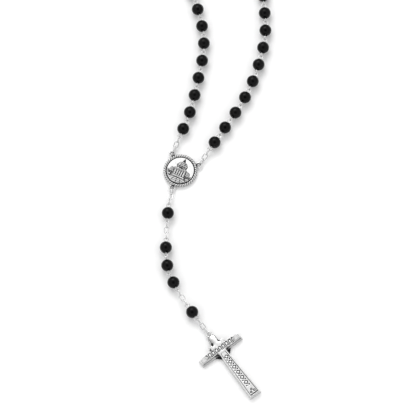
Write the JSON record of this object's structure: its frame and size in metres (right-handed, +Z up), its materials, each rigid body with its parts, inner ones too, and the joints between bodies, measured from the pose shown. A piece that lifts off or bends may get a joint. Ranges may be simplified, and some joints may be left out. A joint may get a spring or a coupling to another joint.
{
  "type": "rosary",
  "caption": "Rosary of round black beads on silver eye pins, with a round church centrepiece, a linked drop and a cross, laid flat in an open loop.",
  "frame": {"origin": "middle of the centrepiece's flat back, on the surface that the rosary lies on", "axes": "+Z up from that surface, +Y along the laid-out rosary from the cross towards the far end of the loop, +X to the right"},
  "size_m": [0.138, 0.3709, 0.0062],
  "materials": {
    "black_bead": "polished opaque black",
    "silver_wire": "bright silver-coloured wire",
    "cast_silver": "silver-coloured casting with darkened recesses"
  },
  "bodies": {
    "centrepiece": {"centrepiece": "cast_silver"},
    "connector_1": {"connector_1_links": "silver_wire"},
    "decade_1a": {"decade_1a_beads": "black_bead", "decade_1a_eye_pins": "silver_wire"},
    "decade_1b": {"decade_1b_beads": "black_bead", "decade_1b_eye_pins": "silver_wire"},
    "decade_1c": {"decade_1c_beads": "black_bead", "decade_1c_eye_pins": "silver_wire"},
    "connector_2": {"connector_2_links": "silver_wire"},
    "our_father_1": {"our_father_1_bead": "black_bead", "our_father_1_eye_pin": "silver_wire"},
    "connector_3": {"connector_3_links": "silver_wire"},
    "decade_2": {"decade_2_beads": "black_bead", "decade_2_eye_pins": "silver_wire"},
    "connector_4": {"connector_4_links": "silver_wire"},
    "our_father_2": {"our_father_2_bead": "black_bead", "our_father_2_eye_pin": "silver_wire"},
    "connector_5": {"connector_5_links": "silver_wire"},
    "decade_3": {"decade_3_beads": "black_bead", "decade_3_eye_pins": "silver_wire"},
    "connector_10": {"connector_10_links": "silver_wire"},
    "decade_5a": {"decade_5a_beads": "black_bead", "decade_5a_eye_pins": "silver_wire"},
    "decade_5b": {"decade_5b_beads": "black_bead", "decade_5b_eye_pins": "silver_wire"},
    "decade_5c": {"decade_5c_beads": "black_bead", "decade_5c_eye_pins": "silver_wire"},
    "connector_9": {"connector_9_links": "silver_wire"},
    "our_father_4": {"our_father_4_bead": "black_bead", "our_father_4_eye_pin": "silver_wire"},
    "connector_8": {"connector_8_links": "silver_wire"},
    "decade_4": {"decade_4_beads": "black_bead", "decade_4_eye_pins": "silver_wire"},
    "connector_7": {"connector_7_links": "silver_wire"},
    "our_father_3": {"our_father_3_bead": "black_bead", "our_father_3_eye_pin": "silver_wire"},
    "connector_6": {"connector_6_links": "silver_wire"},
    "drop_link_1": {"drop_link_1": "silver_wire"},
    "drop_link_2": {"drop_link_2": "silver_wire"},
    "drop_link_3": {"drop_link_3": "silver_wire"},
    "drop_1_eye_pin": {"drop_1_eye_pin": "silver_wire"},
    "drop_1_bead": {"drop_1_bead": "black_bead"},
    "drop_link_4": {"drop_link_4": "silver_wire"},
    "drop_link_5": {"drop_link_5": "silver_wire"},
    "drop_link_6": {"drop_link_6": "silver_wire"},
    "drop_2_eye_pin": {"drop_2_eye_pin": "silver_wire"},
    "drop_2_bead": {"drop_2_bead": "black_bead"},
    "drop_3_eye_pin": {"drop_3_eye_pin": "silver_wire"},
    "drop_3_bead": {"drop_3_bead": "black_bead"},
    "drop_4_eye_pin": {"drop_4_eye_pin": "silver_wire"},
    "drop_4_bead": {"drop_4_bead": "black_bead"},
    "drop_link_7": {"drop_link_7": "silver_wire"},
    "drop_link_8": {"drop_link_8": "silver_wire"},
    "drop_link_9": {"drop_link_9": "silver_wire"},
    "drop_5_eye_pin": {"drop_5_eye_pin": "silver_wire"},
    "drop_5_bead": {"drop_5_bead": "black_bead"},
    "drop_link_10": {"drop_link_10": "silver_wire"},
    "drop_link_11": {"drop_link_11": "silver_wire"},
    "drop_link_12": {"drop_link_12": "silver_wire"},
    "cross": {"cross": "cast_silver"}
  },
  "joints": [
    {"name": "connector_1_swing", "type": "hinge", "parent": "centrepiece", "child": "connector_1", "pos_m": [-0.00393, 0.00957, 0.00139], "axis": [0, 0, 1], "range_deg": [0, 50]},
    {"name": "decade_1a_swing", "type": "hinge", "parent": "connector_1", "child": "decade_1a", "pos_m": [-0.00035, 0.01794, 0.00321], "axis": [0, 0, -1], "range_deg": [-50, 0]},
    {"name": "decade_1b_swing", "type": "hinge", "parent": "decade_1a", "child": "decade_1b", "pos_m": [0.00823, 0.04476, 0.0031], "axis": [0, 0, 1], "range_deg": [0, 50]},
    {"name": "decade_1c_swing", "type": "hinge", "parent": "decade_1b", "child": "decade_1c", "pos_m": [0.01022, 0.08266, 0.0031], "axis": [0, 0, -1], "range_deg": [-50, 0]},
    {"name": "connector_2_swing", "type": "hinge", "parent": "decade_1c", "child": "connector_2", "pos_m": [0.00055, 0.10979, 0.00315], "axis": [0, 0, 1], "range_deg": [0, 50]},
    {"name": "our_father_1_swing", "type": "hinge", "parent": "connector_2", "child": "our_father_1", "pos_m": [-0.00362, 0.11809, 0.00315], "axis": [0, 0, -1], "range_deg": [-50, 0]},
    {"name": "connector_3_swing", "type": "hinge", "parent": "our_father_1", "child": "connector_3", "pos_m": [-0.00756, 0.1262, 0.00315], "axis": [0, 0, 1], "range_deg": [0, 50]},
    {"name": "decade_2_swing", "type": "hinge", "parent": "connector_3", "child": "decade_2", "pos_m": [-0.01128, 0.13472, 0.00315], "axis": [0, 0, -1], "range_deg": [-50, 0]},
    {"name": "connector_4_swing", "type": "hinge", "parent": "decade_2", "child": "connector_4", "pos_m": [-0.00119, 0.22439, 0.00315], "axis": [0, 0, 1], "range_deg": [0, 50]},
    {"name": "our_father_2_swing", "type": "hinge", "parent": "connector_4", "child": "our_father_2", "pos_m": [0.00524, 0.23109, 0.00315], "axis": [0, 0, -1], "range_deg": [-50, 0]},
    {"name": "connector_5_lift", "type": "hinge", "parent": "our_father_2", "child": "connector_5", "pos_m": [0.01287, 0.23696, 0.0031], "axis": [0.6116, -0.7912, 0], "range_deg": [0, 75]},
    {"name": "decade_3_swing", "type": "hinge", "parent": "connector_5", "child": "decade_3", "pos_m": [0.02054, 0.24103, 0.00315], "axis": [0, 0, 1], "range_deg": [0, 50]},
    {"name": "connector_10_swing", "type": "hinge", "parent": "centrepiece", "child": "connector_10", "pos_m": [0.00987, 0.00327, 0.00139], "axis": [0, 0, -1], "range_deg": [0, 50]},
    {"name": "decade_5a_swing", "type": "hinge", "parent": "connector_10", "child": "decade_5a", "pos_m": [0.01506, 0.01076, 0.00321], "axis": [0, 0, 1], "range_deg": [-50, 0]},
    {"name": "decade_5b_swing", "type": "hinge", "parent": "decade_5a", "child": "decade_5b", "pos_m": [0.03087, 0.03419, 0.0031], "axis": [0, 0, -1], "range_deg": [0, 50]},
    {"name": "decade_5c_swing", "type": "hinge", "parent": "decade_5b", "child": "decade_5c", "pos_m": [0.0438, 0.07021, 0.0031], "axis": [0, 0, 1], "range_deg": [-50, 0]},
    {"name": "connector_9_swing", "type": "hinge", "parent": "decade_5c", "child": "connector_9", "pos_m": [0.04259, 0.09899, 0.00315], "axis": [0, 0, -1], "range_deg": [0, 50]},
    {"name": "our_father_4_swing", "type": "hinge", "parent": "connector_9", "child": "our_father_4", "pos_m": [0.04315, 0.10825, 0.00315], "axis": [0, 0, 1], "range_deg": [-50, 0]},
    {"name": "connector_8_swing", "type": "hinge", "parent": "our_father_4", "child": "connector_8", "pos_m": [0.04502, 0.11708, 0.00315], "axis": [0, 0, -1], "range_deg": [0, 50]},
    {"name": "decade_4_swing", "type": "hinge", "parent": "connector_8", "child": "decade_4", "pos_m": [0.04835, 0.12575, 0.00315], "axis": [0, 0, 1], "range_deg": [-50, 0]},
    {"name": "connector_7_lift", "type": "hinge", "parent": "decade_4", "child": "connector_7", "pos_m": [0.11287, 0.19106, 0.0031], "axis": [0.9749, -0.2228, 0], "range_deg": [0, 75]},
    {"name": "our_father_3_swing", "type": "hinge", "parent": "connector_7", "child": "our_father_3", "pos_m": [0.11259, 0.19973, 0.00315], "axis": [0, 0, -1], "range_deg": [0, 50]},
    {"name": "connector_6_swing", "type": "hinge", "parent": "our_father_3", "child": "connector_6", "pos_m": [0.11005, 0.20839, 0.00315], "axis": [0, 0, 1], "range_deg": [-50, 0]},
    {"name": "drop_link_1_lift", "type": "hinge", "parent": "centrepiece", "child": "drop_link_1", "pos_m": [-0.00437, -0.01038, 0.0014], "axis": [-0.9814, 0.192, 0], "range_deg": [0, 75]},
    {"name": "drop_link_2_swing", "type": "hinge", "parent": "drop_link_1", "child": "drop_link_2", "pos_m": [-0.00489, -0.01307, 0.00153], "axis": [0, 0, 1], "range_deg": [-60, 60]},
    {"name": "drop_link_3_swing", "type": "hinge", "parent": "drop_link_2", "child": "drop_link_3", "pos_m": [-0.00529, -0.01531, 0.00198], "axis": [0, 0, -1], "range_deg": [-60, 60]},
    {"name": "drop_1_eye_pin_swing", "type": "hinge", "parent": "drop_link_3", "child": "drop_1_eye_pin", "pos_m": [-0.00579, -0.01858, 0.00321], "axis": [0, 0, 1], "range_deg": [-60, 60]},
    {"name": "drop_1_bead_spin", "type": "hinge", "parent": "drop_1_eye_pin", "child": "drop_1_bead", "pos_m": [-0.00623, -0.02309, 0.0031], "axis": [-0.0995, -0.995, 0], "continuous": true},
    {"name": "drop_link_4_lift", "type": "hinge", "parent": "drop_1_eye_pin", "child": "drop_link_4", "pos_m": [-0.00674, -0.02818, 0.0031], "axis": [-0.995, 0.0995, 0], "range_deg": [0, 75]},
    {"name": "drop_link_5_swing", "type": "hinge", "parent": "drop_link_4", "child": "drop_link_5", "pos_m": [-0.00687, -0.03105, 0.0026], "axis": [0, 0, -1], "range_deg": [-60, 60]},
    {"name": "drop_link_6_swing", "type": "hinge", "parent": "drop_link_5", "child": "drop_link_6", "pos_m": [-0.00695, -0.03337, 0.0026], "axis": [0, 0, 1], "range_deg": [-60, 60]},
    {"name": "drop_2_eye_pin_swing", "type": "hinge", "parent": "drop_link_6", "child": "drop_2_eye_pin", "pos_m": [-0.00706, -0.03686, 0.00315], "axis": [0, 0, -1], "range_deg": [-60, 60]},
    {"name": "drop_2_bead_spin", "type": "hinge", "parent": "drop_2_eye_pin", "child": "drop_2_bead", "pos_m": [-0.00719, -0.04136, 0.0031], "axis": [-0.0295, -0.9996, 0], "continuous": true},
    {"name": "drop_3_eye_pin_swing", "type": "hinge", "parent": "drop_2_eye_pin", "child": "drop_3_eye_pin", "pos_m": [-0.00739, -0.04587, 0.0031], "axis": [0, 0, 1], "range_deg": [-60, 60]},
    {"name": "drop_3_bead_spin", "type": "hinge", "parent": "drop_3_eye_pin", "child": "drop_3_bead", "pos_m": [-0.00643, -0.05089, 0.0031], "axis": [0.1882, -0.9821, 0], "continuous": true},
    {"name": "drop_4_eye_pin_swing", "type": "hinge", "parent": "drop_3_eye_pin", "child": "drop_4_eye_pin", "pos_m": [-0.00566, -0.05535, 0.0031], "axis": [0, 0, -1], "range_deg": [-60, 60]},
    {"name": "drop_4_bead_spin", "type": "hinge", "parent": "drop_4_eye_pin", "child": "drop_4_bead", "pos_m": [-0.00326, -0.05987, 0.0031], "axis": [0.4694, -0.883, 0], "continuous": true},
    {"name": "drop_link_7_swing", "type": "hinge", "parent": "drop_4_eye_pin", "child": "drop_link_7", "pos_m": [-0.00116, -0.06385, 0.00315], "axis": [0, 0, 1], "range_deg": [-60, 60]},
    {"name": "drop_link_8_swing", "type": "hinge", "parent": "drop_link_7", "child": "drop_link_8", "pos_m": [0.00061, -0.06686, 0.0026], "axis": [0, 0, -1], "range_deg": [-60, 60]},
    {"name": "drop_link_9_swing", "type": "hinge", "parent": "drop_link_8", "child": "drop_link_9", "pos_m": [0.00181, -0.06884, 0.0026], "axis": [0, 0, 1], "range_deg": [-60, 60]},
    {"name": "drop_5_eye_pin_swing", "type": "hinge", "parent": "drop_link_9", "child": "drop_5_eye_pin", "pos_m": [0.00367, -0.07179, 0.00315], "axis": [0, 0, -1], "range_deg": [-60, 60]},
    {"name": "drop_5_bead_spin", "type": "hinge", "parent": "drop_5_eye_pin", "child": "drop_5_bead", "pos_m": [0.00625, -0.07549, 0.0031], "axis": [0.5691, -0.8223, 0], "continuous": true},
    {"name": "drop_link_10_swing", "type": "hinge", "parent": "drop_5_eye_pin", "child": "drop_link_10", "pos_m": [0.00881, -0.07922, 0.00321], "axis": [0, 0, 1], "range_deg": [-60, 60]},
    {"name": "drop_link_11_swing", "type": "hinge", "parent": "drop_link_10", "child": "drop_link_11", "pos_m": [0.0108, -0.08187, 0.00198], "axis": [0, 0, -1], "range_deg": [-60, 60]},
    {"name": "drop_link_12_swing", "type": "hinge", "parent": "drop_link_11", "child": "drop_link_12", "pos_m": [0.01217, -0.08368, 0.00153], "axis": [0, 0, 1], "range_deg": [-60, 60]},
    {"name": "cross_lift", "type": "hinge", "parent": "drop_link_12", "child": "cross", "pos_m": [0.01385, -0.08585, 0.0014], "axis": [-0.8039, -0.5948, 0], "range_deg": [0, 75]}
  ]
}
